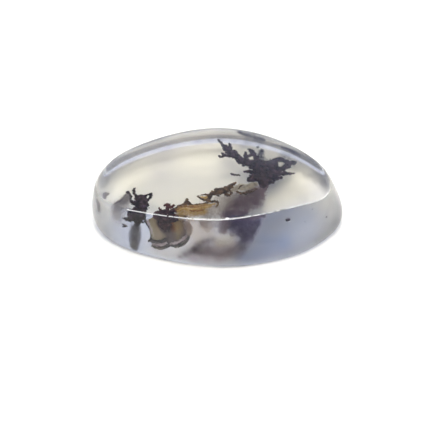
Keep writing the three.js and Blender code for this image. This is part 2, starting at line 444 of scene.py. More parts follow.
def tucked(place, girth):
    """The place, moved in where a lump of this girth would break through the skin."""
    nearest, normal, _, _ = skin_tree.find_nearest(place)
    depth = (nearest - place).dot(normal)
    needed = (girth + SKIN_MARGIN) * MM
    return place - normal * (needed - depth) if depth < needed else place


def lay(strokes):
    """The places, links and girths of strokes. A stroke is a row of (across, down, run, girth)."""
    places, links, girths = [], [], []
    for stroke in strokes.values():
        for i, (across, down, run, girth) in enumerate(stroke):
            if i:
                links.append((len(places) - 1, len(places)))
            places.append(tucked(seen(across, down, run), girth))
            girths.append(girth * MM)
    return places, links, girths


print("the middle of the picture looks at, in mm:", [round(x / MM, 2) for x in seen(*LOOK_AT_PIXEL, 0)])

# %% [markdown]
# ## Stains, and painted shade
#
# The palest clouds hang so close under the skin, and are so soft, that no grain of them can be made
# out. They are only a change of colour, so they are stains on the skin and nothing is modelled for
# them. A few stains are painted shade and a painted reflection instead: they darken bright bands and
# images at the rims of the table. A stain is a few soft round spots that run together, kept as a
# colour at each corner of the mesh. The agate multiplies its own tint by it. A stain of the wall
# doesn't spread over the edge to the table, nor the other way round.

# %% Stains close under the skin, and painted shade on it
# Colour of each stain, and its spots: across and down in the picture, and reach in mm
STAINS_AND_PAINTED_SHADE = {
    "blue": ((0.5, 0.63, 1.0), (
        (244, 257, 1.0), (256, 254, 1.3), (268, 249, 1.5), (282, 243, 1.5), (266, 242, 1.0))),
    "pale blue": ((0.86, 0.91, 1.0), ((290, 235, 2.0), (305, 228, 2.2), (298, 242, 1.8))),
    "deep blue": ((0.7, 0.72, 0.78), ((240, 259, 0.8), (250, 256, 1.0), (260, 252, 0.9))),
    "beige": ((0.86, 0.66, 0.46), (
        (192, 224, 0.9), (202, 226, 1.1), (208, 232, 1.0), (195, 234, 0.9), (199, 240, 0.8))),
    "cream": ((1.0, 0.82, 0.5), ((219, 242, 0.7), (225, 241, 0.9), (231, 239, 0.7))),
    "under the rosette": ((0.96, 0.85, 0.7), (
        (156, 250, 0.8), (166, 253, 0.9), (177, 252, 0.9), (188, 247, 0.9))),
    "brown": ((0.5, 0.38, 0.4), (
        (190, 256, 0.6), (198, 252, 0.8), (208, 251, 0.9), (218, 253, 0.9), (228, 253, 0.9),
        (238, 250, 0.9), (194, 259, 0.8), (206, 259, 0.8), (219, 260, 0.7))),
    "brown line": ((0.05, 0.02, 0.04), (
        (180, 257, 0.4), (185, 254.5, 0.5), (190, 252, 0.5), (195, 249, 0.5), (199, 245, 0.5),
        (203, 241.8, 0.45), (208, 240.3, 0.45), (213, 239, 0.4))),
    "purple": ((0.75, 0.68, 0.85), (
        (232, 223, 0.7), (240, 224, 0.9), (248, 223, 1.0), (258, 221, 0.6), (238, 231, 0.7),
        (248, 231, 0.9), (246, 239, 0.7))),
    # Haze, and painted shade that dims a bright refracted image at the right end of the table
    "haze and painted shade": ((0.8, 0.8, 0.88), (
        (166, 150, 1.4), (165, 162, 1.6), (160, 174, 1.4), (232, 162, 1.4), (314, 186, 1.2),
        (317, 193, 0.9))),
    # Painted shade that dims the bright band along the rear rim
    "painted shade along the rim": ((0.6, 0.61, 0.72), (
        (198, 141, 0.6), (210, 139, 0.6), (222, 138.5, 0.7), (234, 141, 0.7), (243, 146, 0.7))),
    # Grey haze, and a painted reflection of the black tree in the rear rim
    "grey haze and painted reflection": ((0.4, 0.42, 0.5), (
        (247, 142, 0.5), (251, 141, 0.6), (256, 141, 0.6), (260, 144, 0.5), (283, 154, 0.5),
        (288, 156, 0.5))),
}

stain_and_shade = np.ones((len(skin), 4))
edge_ring = TABLE_STEPS - 1 + ROUNDING_STEPS // 2
on_wall = np.concatenate([np.tile(np.arange(ring_count) > edge_ring, SECTION_COUNT), (False, False)])
for title, (colour, spots) in STAINS_AND_PAINTED_SHADE.items():
    bare_share = np.ones(len(skin))
    for across, down, reach in spots:
        gap = np.linalg.norm(skin - np.array(seen(across, down, 0)), axis=1) / (reach * MM)
        same_side = on_wall == on_wall[gap.argmin()]
        bare_share *= 1 - np.exp(-gap**2) * same_side
    stain_and_shade[:, :3] *= 1 - (1 - bare_share)[:, None] * (1 - np.array(colour))
    print("stain_and_shade", title, "covers", int((bare_share < 0.5).sum()), "corners")
stone.data.attributes.new("stain_and_shade", "FLOAT_COLOR", "POINT").data.foreach_set("color", stain_and_shade.ravel())

# %% [markdown]
# ## Growing along strokes
#
# Everything that grew in the stone follows strokes: rows of spots of the picture, each with its depth
# and its girth. A tree of Geometry Nodes turns the strokes into a mesh. There are two such trees, one
# for crusts and one for smoke. They begin and end in the same way, so those steps are written once.

# %% Grow a piece from strokes
def new_tree(name, labels):
    """A Geometry Nodes tree with its geometry in and out, and its named inputs."""
    tree = bpy.data.node_groups.new(name, "GeometryNodeTree")
    for label, kind in {"Geometry": "Geometry", **labels}.items():
        tree.interface.new_socket(label, in_out="INPUT", socket_type="NodeSocket" + kind)
    tree.interface.new_socket("Geometry", in_out="OUTPUT", socket_type="NodeSocketGeometry")
    return tree


def grow(name, laid, tree, values):
    """A plain mesh grown by a tree of nodes along laid paths."""
    places, links, girths = laid
    paths = bpy.data.meshes.new(name + "_paths")
    paths.from_pydata(places, links, [])
    paths.attributes.new("girth", "FLOAT", "POINT").data.foreach_set("value", girths)
    seedling = bpy.data.objects.new(name + "_paths", paths)
    bpy.context.scene.collection.objects.link(seedling)
    modifier = seedling.modifiers.new("grow", "NODES")
    modifier.node_group = tree
    for item in tree.interface.items_tree:
        if item.in_out == "INPUT" and item.name in values:
            modifier[item.identifier] = values[item.name]
    grown = seedling.evaluated_get(bpy.context.evaluated_depsgraph_get())
    mesh = bpy.data.meshes.new_from_object(grown)
    mesh.name = name
    bpy.data.objects.remove(seedling)
    piece = bpy.data.objects.new(name, mesh)
    bpy.context.scene.collection.objects.link(piece)
    print(name, "triangles:", sum(len(polygon.vertices) - 2 for polygon in mesh.polygons))
    return piece


# %% Steps that both trees of nodes share
def smooth_paths(tree, geometry):
    """The paths as smooth curves, with their girth as their radius."""
    curve = add(tree, "GeometryNodeMeshToCurve", inputs={"Mesh": geometry}).outputs["Curve"]
    girth = add(tree, "GeometryNodeInputNamedAttribute", {"data_type": "FLOAT"}, {"Name": "girth"}).outputs[0]
    sized = add(tree, "GeometryNodeSetCurveRadius", inputs={"Curve": curve, "Radius": girth}).outputs[0]
    smooth = add(tree, "GeometryNodeCurveSplineType", {"spline_type": "CATMULL_ROM"}, {"Curve": sized})
    return smooth.outputs["Curve"]


def points_on(tree, curve, count):
    """So many points along each curve."""
    row = add(tree, "GeometryNodeCurveToPoints", {"mode": "COUNT"}, {"Curve": curve, "Count": count})
    return row.outputs["Points"]


def move(tree, geometry, offset):
    """The geometry with each of its points moved by its own offset."""
    moved = add(tree, "GeometryNodeSetPosition", inputs={"Geometry": geometry, "Offset": offset})
    return moved.outputs["Geometry"]


def random_step(tree, seed):
    """A random vector in a cube from -1 to 1, another one for each point."""
    return add(tree, "FunctionNodeRandomValue", {"data_type": "FLOAT_VECTOR"}, {
        0: (-1, -1, -1), 1: (1, 1, 1), "Seed": seed}).outputs[0]


def random_share(tree, least, seed):
    """A random number from the least to 1, another one for each point."""
    return add(tree, "FunctionNodeRandomValue", {"data_type": "FLOAT"}, {
        2: least, 3: 1.0, "Seed": seed}).outputs[1]


def finish_tree(tree, geometry, material):
    """The end of a tree. The export drops instances, so they are made real first."""
    whole = add(tree, "GeometryNodeRealizeInstances", inputs={"Geometry": geometry}).outputs["Geometry"]
    dressed = add(tree, "GeometryNodeSetMaterial", inputs={"Geometry": whole, "Material": material})
    add(tree, "NodeGroupOutput", inputs={"Geometry": dressed.outputs["Geometry"]})


# %% [markdown]
# ## Trees and moss
#
# The dark figures are crusts of tiny oxide crystals that grew along cracks, so they look like ferns
# made of soot. Each arm is a row of overlapping balls along a path, with smaller knobs scattered at
# its sides. The balls are melted together into one closed skin, so nothing is hidden inside it.
# Joined balls alone would look like a string of beads, so noise roughens the skin at the end.

# %% The tree of nodes for knobbly growth: balls along the arms, and knobs at their sides
FEWEST_POINTS = 3
KNOB_LEAST = 0.35
# A knob is never larger than this share of its arm, and a little more so that thin arms have some too
KNOB_TO_ARM = 0.9
KNOB_ALLOWANCE = 0.03

growth = new_tree("growth", {
    "Spacing": "Float", "Knob Spacing": "Float", "Knob Reach": "Float", "Knob Girth": "Float",
    "Fineness": "Float", "Raggedness": "Float", "Seed": "Int", "Material": "Material",
})
given = add(growth, "NodeGroupInput").outputs
arms = smooth_paths(growth, given["Geometry"])
length = add(growth, "GeometryNodeSplineLength").outputs["Length"]
radius = add(growth, "GeometryNodeInputRadius").outputs["Radius"]


def spaced(spacing):
    """Points along the arms, spaced as given."""
    count = calc(growth, "MAXIMUM", calc(growth, "DIVIDE", length, spacing), FEWEST_POINTS)
    return points_on(growth, arms, count)


aside = calc_vector(growth, "NORMALIZE", random_step(growth, given["Seed"]))
aside = calc_vector(growth, "SCALE", aside, calc(growth, "MULTIPLY", radius, given["Knob Reach"]))
knobs = move(growth, spaced(given["Knob Spacing"]), aside)
knob_girth = calc(growth, "MULTIPLY", given["Knob Girth"], random_share(growth, KNOB_LEAST, given["Seed"]))
knob_limit = calc(growth, "MULTIPLY_ADD", radius, KNOB_TO_ARM, KNOB_ALLOWANCE * MM)
knobs = add(growth, "GeometryNodeStoreNamedAttribute", {"data_type": "FLOAT", "domain": "POINT"}, {
    "Geometry": knobs, "Name": "radius", "Value": calc(growth, "MINIMUM", knob_girth, knob_limit)})
print("nodes that place the balls:", len(growth.nodes))

# %% Melt the balls together and roughen their skin
CRUST_PATCH = 0.25
balls = add(growth, "GeometryNodeJoinGeometry")
growth.links.new(spaced(given["Spacing"]), balls.inputs[0])
growth.links.new(knobs.outputs["Geometry"], balls.inputs[0])
melted = add(growth, "GeometryNodePointsToVolume", {"resolution_mode": "VOXEL_SIZE"}, {
    "Points": balls.outputs[0], "Radius": radius, "Voxel Size": given["Fineness"]})
skinned = add(growth, "GeometryNodeVolumeToMesh", {"resolution_mode": "VOXEL_SIZE"}, {
    "Volume": melted.outputs["Volume"], "Voxel Size": given["Fineness"]})
crust = add(growth, "ShaderNodeTexNoise", inputs={"Scale": 1 / (CRUST_PATCH * MM), "Detail": 2})
crust = calc(growth, "SUBTRACT", crust.outputs["Fac"], 0.5)
crust = calc(growth, "MULTIPLY", crust, given["Raggedness"])
outward = add(growth, "GeometryNodeInputNormal").outputs["Normal"]
rough = move(growth, skinned.outputs["Mesh"], calc_vector(growth, "SCALE", outward, crust))
rounded = add(growth, "GeometryNodeSetShadeSmooth", inputs={"Geometry": rough})
finish_tree(growth, rounded.outputs["Geometry"], given["Material"])

KNOBBLY = {
    "Spacing": 0.04 * MM, "Knob Spacing": 0.04 * MM, "Knob Reach": 1.3, "Fineness": 0.05 * MM,
    "Raggedness": 0.1 * MM,
}


def grow_knobbly(name, laid, material, seed, knob_girth):
    """A crust along laid paths. The girth of its largest knobs is in mm."""
    return grow(name, laid, growth, {
        **KNOBBLY, "Knob Girth": knob_girth * MM, "Seed": seed, "Material": material})


print("nodes for knobbly growth:", len(growth.nodes))


# %% Colours of the growths
# Roughness and gloss of everything that grew, and the stretch of the noise over which its tones lie
GROWN_FINISH = {"Roughness": 0.6, "Specular IOR Level": 0.2}
TONES_START = 0.3
TONES_SPAN = 0.4


def mottled(name, patch, *colours):
    """A material whose colour wanders between a few tones, in patches of a given size in mm."""
    material, tree, shader = new_material(name, GROWN_FINISH)
    place = add(tree, "ShaderNodeTexCoord").outputs["Object"]
    noise = add(tree, "ShaderNodeTexNoise", inputs={"Vector": place, "Scale": 1 / (patch * MM), "Detail": 3})
    steps = [(TONES_START + TONES_SPAN * i / (len(colours) - 1), colour) for i, colour in enumerate(colours)]
    tree.links.new(add_ramp(tree, noise.outputs["Fac"], steps), shader.inputs["Base Color"])
    print("colour", name, "with tones:", len(colours))
    return material


black_oxide = mottled("black_oxide", 0.6, (0.004, 0.002, 0.002), (0.028, 0.014, 0.012), (0.07, 0.04, 0.065))
brown_oxide = mottled("brown_oxide", 0.6, (0.02, 0.012, 0.006), (0.075, 0.045, 0.022), (0.2, 0.12, 0.06))
crown_red = mottled("crown_red", 0.6, (0.03, 0.008, 0.008), (0.08, 0.02, 0.018), (0.16, 0.06, 0.04))
rust_moss = mottled("rust_moss", 0.5, (0.16, 0.06, 0.02), (0.3, 0.13, 0.045), (0.4, 0.2, 0.08))
gold_moss = mottled("gold_moss", 0.5, (0.38, 0.24, 0.08), (0.62, 0.43, 0.17), (0.72, 0.55, 0.3))
pale_moss = mottled("pale_moss", 0.4, (0.3, 0.25, 0.18), (0.62, 0.56, 0.45), (0.86, 0.8, 0.68))

# %% [markdown]
# ## The black tree
#
# The darkest figure lies a few millimetres under the table. A stout foot carries a wide body, from
# which leaves, horns and arms reach out. Each stroke thins out to its tip, as the real arms do.

# %% The black tree
# Each stroke: across and down in the picture, run inside and girth in mm
BLACK_TREE = {
    "foot": (
        (264, 187, 3.2, 0.28), (264, 181, 2.9, 0.56), (262, 174, 2.8, 0.9), (261, 167, 2.6, 0.78),
        (256, 162, 2.5, 0.5)),
    "left body": (
        (257, 164, 2.5, 0.67), (248, 163.3, 2.4, 0.5), (242, 160.8, 2.3, 0.39), (238, 158, 2.2, 0.25)),
    "broad leaf": (
        (239, 158, 2.2, 0.22), (234.2, 155.5, 2.1, 0.47), (230.5, 152, 2.1, 0.47),
        (227.3, 148.8, 2.1, 0.31), (224.5, 146.4, 2.1, 0.16)),
    "leaf tip": ((225.5, 147.5, 2.1, 0.22), (222.3, 143.8, 2.1, 0.11), (218.4, 139.8, 2.1, 0.08)),
    "leaf horn": ((230.3, 149.5, 2.1, 0.17), (229.8, 143.6, 2.1, 0.08)),
    "leaf twig": ((229.5, 156.2, 2.1, 0.16), (224.3, 154.7, 2.1, 0.11), (221.4, 152.8, 2.1, 0.07)),
    "leaf twig end": ((224.8, 155, 2.1, 0.11), (221, 156.6, 2.1, 0.11), (218.9, 155.5, 2.1, 0.09)),
    "first upright": ((246, 160, 2.3, 0.22), (245.6, 155.5, 2.3, 0.13), (245.4, 151.8, 2.2, 0.06)),
    "bridge": ((245.6, 155.6, 2.3, 0.11), (249, 156, 2.3, 0.13), (252.5, 154.2, 2.3, 0.13)),
    "curved horn": (
        (257.5, 161, 2.5, 0.34), (254.8, 155.6, 2.4, 0.2), (251.8, 151.2, 2.3, 0.16),
        (249.2, 149, 2.3, 0.11)),
    "right arm": (
        (266, 165, 2.9, 0.73), (274.5, 162, 3.3, 0.4), (280.5, 159.2, 3.5, 0.16), (286.5, 162, 3.7, 0.34),
        (291.5, 163, 3.9, 0.24), (295.5, 162, 4.1, 0.08)),
    "right arm return": (
        (289, 164.4, 3.8, 0.3), (285.6, 167, 3.7, 0.22), (280, 169.2, 3.4, 0.24), (271, 168, 3.0, 0.5)),
    "blade": (
        (274, 172.3, 3.0, 0.45), (282, 173, 3.1, 0.22), (289, 173.7, 3.2, 0.13), (294.6, 173.4, 3.3, 0.04)),
    "right body": (
        (264, 176, 2.8, 0.78), (272, 177, 2.8, 0.56), (278, 178, 2.9, 0.22), (281.5, 177.2, 2.9, 0.08)),
    "lower right": ((266, 180, 2.9, 0.56), (271.5, 182.3, 3.0, 0.17)),
    "left branch": ((257, 173.3, 2.6, 0.45), (250.5, 171.5, 2.5, 0.18), (244.5, 171.7, 2.4, 0.09)),
    "lower left": ((258, 177.5, 2.6, 0.67), (252.5, 177.8, 2.5, 0.39), (249.7, 181, 2.5, 0.13)),
    "dash": ((230.4, 173.4, 2.0, 0.06), (233.5, 174.6, 2.0, 0.08), (239.8, 175, 2.0, 0.07)),
}
black_tree = grow_knobbly("black_tree", lay(BLACK_TREE), black_oxide, seed=3, knob_girth=0.22)

# %% [markdown]
# ## The left tree
#
# A smaller tree stands close behind the left of the rim, so its twigs look sharper. It grows by the
# same nodes, with smaller knobs.

# %% The left tree
LEFT_TREE = {
    "left knob": (
        (127.4, 191.8, 1.4, 0.14), (128.8, 194.4, 1.4, 0.12), (130.8, 197, 1.4, 0.1),
        (130.2, 199.3, 1.4, 0.1), (132.4, 202.2, 1.4, 0.12), (136, 204.4, 1.4, 0.2)),
    "tall knob": (
        (134, 188.8, 1.6, 0.14), (133.9, 192, 1.6, 0.1), (135.1, 195, 1.6, 0.1), (138, 199, 1.6, 0.2)),
    "body": ((140.5, 198.5, 1.6, 0.6), (141.6, 203.5, 1.5, 0.76), (141, 208.5, 1.3, 0.7)),
    "loop": (
        (145.5, 196.2, 1.5, 0.14), (148, 194.9, 1.5, 0.07), (150.6, 194.2, 1.5, 0.12),
        (150.6, 197, 1.5, 0.1), (148.2, 199.8, 1.5, 0.08), (146, 201, 1.5, 0.14)),
    "lower body": ((129.5, 214.5, 0.8, 0.3), (136, 216, 1.0, 0.7), (142, 216, 1.0, 0.5)),
    "lower tip": ((138.5, 217, 1.0, 0.6), (138, 222, 0.9, 0.36), (137.8, 225, 0.8, 0.14)),
    "left thorn": ((134, 218.8, 0.9, 0.3), (127.5, 219.3, 0.7, 0.14), (122.8, 217.9, 0.6, 0.05)),
}
left_tree = grow_knobbly("left_tree", lay(LEFT_TREE), black_oxide, seed=5, knob_girth=0.16)

# %% [markdown]
# ## Moss between the trees
#
# Brown moss with a beak and a curl hangs under the middle of the table, and a dark line runs from it
# to the rosette, which wears a small red crown. Gold fills the hollows of the moss, and thin streaks
# of gold and rust follow the line. They are separate pieces, as each has a colour of its own.

# %% The brown moss
BROWN_MOSS = {
    "tip": ((236.4, 182.2, 1.6, 0.05), (233.3, 183.9, 1.6, 0.14), (230, 186, 1.6, 0.28)),
    "body": (
        (229.5, 187, 1.6, 0.3), (225.5, 190, 1.6, 0.46), (220.5, 191, 1.6, 0.5), (216, 192.6, 1.6, 0.4),
        (212.5, 193.8, 1.6, 0.22)),
    "neck": (
        (213, 193, 1.6, 0.2), (210, 195, 1.6, 0.24), (209.3, 198, 1.6, 0.2), (208.3, 200.4, 1.6, 0.12)),
    "beak": (
        (208.5, 200, 1.6, 0.12), (204.5, 200.2, 1.6, 0.1), (200.5, 198.6, 1.6, 0.09),
        (197, 195.9, 1.6, 0.03)),
    "beak top": ((208.5, 194.6, 1.6, 0.12), (203.5, 194.8, 1.6, 0.05), (198, 195.8, 1.6, 0.03)),
    "curl": (
        (210.5, 202.5, 1.5, 0.07), (213.8, 201, 1.5, 0.1), (217.4, 202, 1.5, 0.09), (218, 204, 1.5, 0.07),
        (216.3, 206.9, 1.5, 0.05)),
    "tail": ((225.6, 194.3, 1.7, 0.12), (229.4, 195.2, 1.7, 0.14), (231.5, 192.6, 1.7, 0.09)),
    "band line": (
        (171, 210.6, 1.2, 0.12), (175, 208.6, 1.2, 0.12), (180, 205.8, 1.3, 0.11), (185, 203.8, 1.4, 0.1),
        (190, 204, 1.4, 0.11), (194, 205.2, 1.4, 0.12), (201, 204, 1.4, 0.09), (206.5, 203, 1.4, 0.08),
        (210.5, 200.8, 1.4, 0.07)),
    "spike": (
        (184.6, 204, 1.4, 0.1), (187.2, 199, 1.4, 0.07), (187.4, 202.4, 1.4, 0.16), (190, 204, 1.4, 0.1)),
    "scallop edge": (
        (236.3, 191.3, 2.0, 0.05), (240.3, 193, 2.0, 0.12), (244.4, 193.2, 2.0, 0.14),
        (249.4, 191.5, 2.0, 0.14), (253.5, 190.2, 2.0, 0.1), (256.5, 188.5, 2.1, 0.1)),
    "scallop streak": ((238.5, 189, 1.9, 0.03), (240.5, 186, 1.9, 0.05), (243.5, 184.8, 1.9, 0.03)),
}
brown_moss = grow_knobbly("brown_moss", lay(BROWN_MOSS), brown_oxide, seed=7, knob_girth=0.16)

CROWN_DOTS = {
    "crown": ((164.6, 205.4, 1.1, 0.14), (167.4, 204.6, 1.1, 0.24), (169, 206.2, 1.1, 0.2)),
    "crown right": ((170.8, 207.4, 1.1, 0.16), (172.4, 206.2, 1.1, 0.2), (174, 205.2, 1.1, 0.1)),
    "stem": ((168, 206, 1.1, 0.2), (167.6, 208.6, 1.0, 0.22), (166.5, 210.6, 0.9, 0.2)),
    "spur": ((159.2, 207.4, 0.9, 0.03), (159.8, 209.4, 0.9, 0.1), (161.5, 210.8, 0.9, 0.12)),
}
crown_dots = grow_knobbly("crown_dots", lay(CROWN_DOTS), crown_red, seed=9, knob_girth=0.1)

# %% Golden and rusty moss
GOLD_MOSS = {
    "beak fill": ((207.5, 197.5, 1.8, 0.2), (203, 197.5, 1.8, 0.16), (199.5, 196.6, 1.8, 0.05)),
    "curl fill": ((212, 204.5, 1.7, 0.12), (215, 203.8, 1.7, 0.1)),
    "streak": (
        (176, 211.5, 0.8, 0.1), (184, 209.2, 0.8, 0.12), (192, 209.4, 0.8, 0.14), (200, 208.8, 0.8, 0.12),
        (207, 207, 0.8, 0.08)),
}
gold_band = grow_knobbly("gold_band", lay(GOLD_MOSS), gold_moss, seed=11, knob_girth=0.12)

RUST_MOSS = {
    "line": (
        (175.6, 210.6, 0.8, 0.08), (180.5, 207.6, 0.9, 0.1), (186, 206, 0.9, 0.12), (194, 206.9, 0.9, 0.14),
        (201, 206, 0.9, 0.12), (208, 204.5, 0.9, 0.07)),
    "streak": ((190, 210.6, 0.5, 0.05), (197, 210.8, 0.5, 0.1), (204, 209.6, 0.5, 0.06)),
}
rust_streaks = grow_knobbly("rust_streaks", lay(RUST_MOSS), rust_moss, seed=12, knob_girth=0.12)

# %% [markdown]
# ## Smoke
#
# Where the crystals stay too fine to see one by one, they look like smoke. A volume shader could make
# smoke, but it has no surface to hand on as a part. So the smoke is made of many tiny grains scattered
# round a path, most of them near it, so that the edge fades out. A grain is a tetrahedron, which is
# four triangles. Noise leaves some of them out, so the smoke has wisps. Grains that would stick out of
# the stone are left out too.

# %% The tree of nodes for smoke: scatter the points and fray the cloud
# Steps of the seed, so that the second random step and the turn of a grain are drawn anew
SECOND_SEED = 100
TURN_SEED = 200

smoke = new_tree("smoke", {
    "Grains per Metre": "Float", "Grain": "Float", "Wisp": "Float", "Gaps": "Float", "Drift": "Float",
    "Stone": "Object", "Margin": "Float", "Seed": "Int", "Material": "Material",
})
given = add(smoke, "NodeGroupInput").outputs
length = add(smoke, "GeometryNodeSplineLength").outputs["Length"]
grain_count = calc(smoke, "MULTIPLY", length, given["Grains per Metre"])
cloud = points_on(smoke, smooth_paths(smoke, given["Geometry"]), grain_count)


def stray(seed_step):
    """A random step in a cube, different for every seed step."""
    return random_step(smoke, calc(smoke, "ADD", given["Seed"], seed_step))


def leave_out(geometry, value, limit):
    """The cloud without the points where the value is under the limit."""
    under = calc(smoke, "LESS_THAN", value, limit)
    return add(smoke, "GeometryNodeDeleteGeometry", {"domain": "POINT"}, {
        "Geometry": geometry, "Selection": under}).outputs["Geometry"]


# Two random steps added together crowd the grains near the path.
radius = add(smoke, "GeometryNodeInputRadius").outputs["Radius"]
steps = calc_vector(smoke, "ADD", stray(0), stray(SECOND_SEED))
cloud = move(smoke, cloud, calc_vector(smoke, "SCALE", steps, radius))

# Neighbours drift the same way, which frays the cloud without blurring it.
place = add(smoke, "GeometryNodeInputPosition").outputs["Position"]
pattern = {"Vector": place, "Scale": calc(smoke, "DIVIDE", 1, given["Wisp"])}
drift = add(smoke, "ShaderNodeTexNoise", inputs={**pattern, "Detail": 0.5}).outputs["Color"]
drift = calc_vector(smoke, "SUBTRACT", drift, (0.5, 0.5, 0.5))
cloud = move(smoke, cloud, calc_vector(smoke, "SCALE", drift, given["Drift"]))
wisps = add(smoke, "ShaderNodeTexNoise", inputs={**pattern, "Detail": 0}).outputs["Fac"]
cloud = leave_out(cloud, wisps, given["Gaps"])
print("nodes that scatter the points:", len(smoke.nodes))

# %% Keep the smoke inside the stone
# How deep a point lies: its way to the nearest skin, measured along the normal of the skin there
stone_mesh = add(smoke, "GeometryNodeObjectInfo", inputs={"Object": given["Stone"]}).outputs["Geometry"]
nearest = add(smoke, "GeometryNodeProximity", {"target_element": "FACES"}, {
    "Geometry": stone_mesh, "Sample Position": place}).outputs["Position"]
skin_normal = add(smoke, "GeometryNodeSampleNearestSurface", {"data_type": "FLOAT_VECTOR"}, {
    "Mesh": stone_mesh, "Value": add(smoke, "GeometryNodeInputNormal").outputs["Normal"],
    "Sample Position": place}).outputs["Value"]
depth = calc_vector(smoke, "DOT_PRODUCT", calc_vector(smoke, "SUBTRACT", nearest, place), skin_normal)
cloud = leave_out(cloud, depth, given["Margin"])
print("nodes so far:", len(smoke.nodes))

# %% Set a grain on every point
# A regular tetrahedron that reaches 1 from its middle to its corners is a cone of three sides:
# this wide at its foot, from the axis, and this high.
TETRAHEDRON_FOOT = math.sqrt(8) / 3
TETRAHEDRON_HEIGHT = 4 / 3
SMALLEST_GRAIN = 0.6

grain = add(smoke, "GeometryNodeMeshCone", {"fill_type": "NGON"}, {
    "Vertices": 3, "Radius Top": 0,
    "Radius Bottom": calc(smoke, "MULTIPLY", given["Grain"], TETRAHEDRON_FOOT),
    "Depth": calc(smoke, "MULTIPLY", given["Grain"], TETRAHEDRON_HEIGHT)})
turned = add(smoke, "FunctionNodeEulerToRotation", inputs={
    "Euler": calc_vector(smoke, "SCALE", stray(TURN_SEED), math.pi)})
grains = add(smoke, "GeometryNodeInstanceOnPoints", inputs={
    "Points": cloud, "Instance": grain.outputs["Mesh"], "Rotation": turned.outputs["Rotation"],
    "Scale": random_share(smoke, SMALLEST_GRAIN, given["Seed"])})
finish_tree(smoke, grains.outputs["Instances"], given["Material"])


def grow_smoky(
        name, laid, material, seed, density=1500, grain=0.05, gaps=0.28, drift=1.4, wisp=1.4, margin=0.05):
    """Smoke along laid paths. The density is in grains per mm of path, and gaps is a level of the noise.
    The size of a grain, the drift, the size of a wisp and the margin to the skin are in mm."""
    return grow(name, laid, smoke, {
        "Grains per Metre": density / MM, "Grain": grain * MM, "Gaps": gaps, "Drift": drift * MM,
        "Wisp": wisp * MM, "Margin": margin * MM, "Stone": stone, "Seed": seed, "Material": material})


print("nodes for smoke:", len(smoke.nodes))

# %% Colours of the smoke
mauve_smoke = mottled("mauve_smoke", 0.8, (0.18, 0.13, 0.16), (0.25, 0.18, 0.215), (0.34, 0.27, 0.29))
purple_smoke = mottled("purple_smoke", 0.8, (0.085, 0.068, 0.125), (0.14, 0.112, 0.18), (0.2, 0.165, 0.235))
brown_smoke = mottled("brown_smoke", 0.8, (0.2, 0.145, 0.16), (0.28, 0.21, 0.23), (0.36, 0.29, 0.29))
grey_smoke = mottled("grey_smoke", 0.8, (0.04, 0.035, 0.045), (0.08, 0.07, 0.085), (0.14, 0.12, 0.135))
pale_grey_smoke = mottled(
    "pale_grey_smoke", 0.8, (0.38, 0.345, 0.34), (0.48, 0.44, 0.43), (0.58, 0.54, 0.53))
dark_smoke_and_painted_rim = mottled("dark_smoke_and_painted_rim", 0.8, (0.02, 0.02, 0.03), (0.04, 0.035, 0.05), (0.08, 0.08, 0.1))
veil_smoke = mottled("veil_smoke", 0.8, (0.36, 0.29, 0.26), (0.46, 0.39, 0.36), (0.56, 0.5, 0.46))

# %% [markdown]
# ## Clouds round the black tree
#
# A trunk of mauve smoke falls from the foot of the tree to the edge, and goes on behind the wall in
# purple and brown. The arms that lie deeper look blurred, so they are dark smoke. Finer and denser
# grains make a smoother cloud.

# %% Mauve and purple clouds
MAUVE_CLOUD = {
    "near the ridge": (
        (221, 214, 1.2, 0.14), (228, 213.8, 1.25, 0.26), (236, 213.2, 1.3, 0.34), (245, 211.6, 1.3, 0.24)),
    "core": ((241, 202, 3.0, 0.4), (237, 208, 3.0, 0.45), (232, 213, 3.0, 0.3)),
    "right": ((265, 185.5, 3.2, 0.28), (260, 193, 3.4, 0.36), (254, 201, 3.6, 0.5), (248, 209, 3.8, 0.55)),
    "middle": ((259, 190, 3.2, 0.38), (249, 199, 3.4, 0.6), (240, 206, 3.6, 0.7), (232, 212, 3.8, 0.65)),
    "left": ((246, 199.5, 3.3, 0.4), (234, 204, 3.4, 0.65), (224, 209, 3.4, 0.5)),
}
mauve_cloud = grow_smoky("mauve_cloud", lay(MAUVE_CLOUD), mauve_smoke, seed=21)

PURPLE_CLOUD = {
    "high": ((259, 223.5, 0.9, 0.28), (249, 225, 1.0, 0.5), (239, 225, 1.0, 0.5), (232, 223.5, 1.0, 0.4)),
    "mid": ((256, 230, 1.0, 0.32), (246, 231.5, 1.2, 0.5), (238, 230, 1.2, 0.45)),
    "left": ((235, 222, 1.0, 0.4), (235.5, 227, 1.1, 0.4), (240, 234, 1.4, 0.4)),
    "low": ((251, 238, 1.4, 0.32), (244, 241, 1.7, 0.5), (239, 248, 1.9, 0.6)),
}
purple_cloud = grow_smoky(
    "purple_cloud", lay(PURPLE_CLOUD), purple_smoke, seed=25, density=2400, grain=0.038, gaps=0.15, drift=1.0)

# %% Brown clouds and the veil beside them
BROWN_CLOUD = {
    "high": ((231, 223, 1.0, 0.4), (225, 225, 1.0, 0.4), (222.5, 229.5, 1.2, 0.34)),
    "low": (
        (240, 250, 2.0, 0.6), (228, 251, 2.1, 0.65), (216, 250.5, 2.1, 0.65), (204, 250, 1.9, 0.6),
        (194, 252, 1.5, 0.4)),
    "under the scallop": ((257, 191, 2.8, 0.4), (247, 196, 2.9, 0.6), (236, 199, 3.0, 0.6)),
}
brown_cloud = grow_smoky(
    "brown_cloud", lay(BROWN_CLOUD), brown_smoke, seed=22, density=2600, grain=0.036, gaps=0.1, drift=0.9)

BROWN_VEIL = {
    "table": ((233, 197, 2.4, 0.6), (222, 202, 2.5, 0.8), (214, 209, 2.5, 0.8), (203, 213, 2.4, 0.6)),
    "rosette side": ((187.5, 222.5, 1.0, 0.2), (188, 228, 1.0, 0.26), (189, 234, 1.0, 0.2)),
}
brown_veil = grow_smoky(
    "brown_veil", lay(BROWN_VEIL), veil_smoke, seed=26, density=1700, grain=0.042, gaps=0.15, drift=0.8)
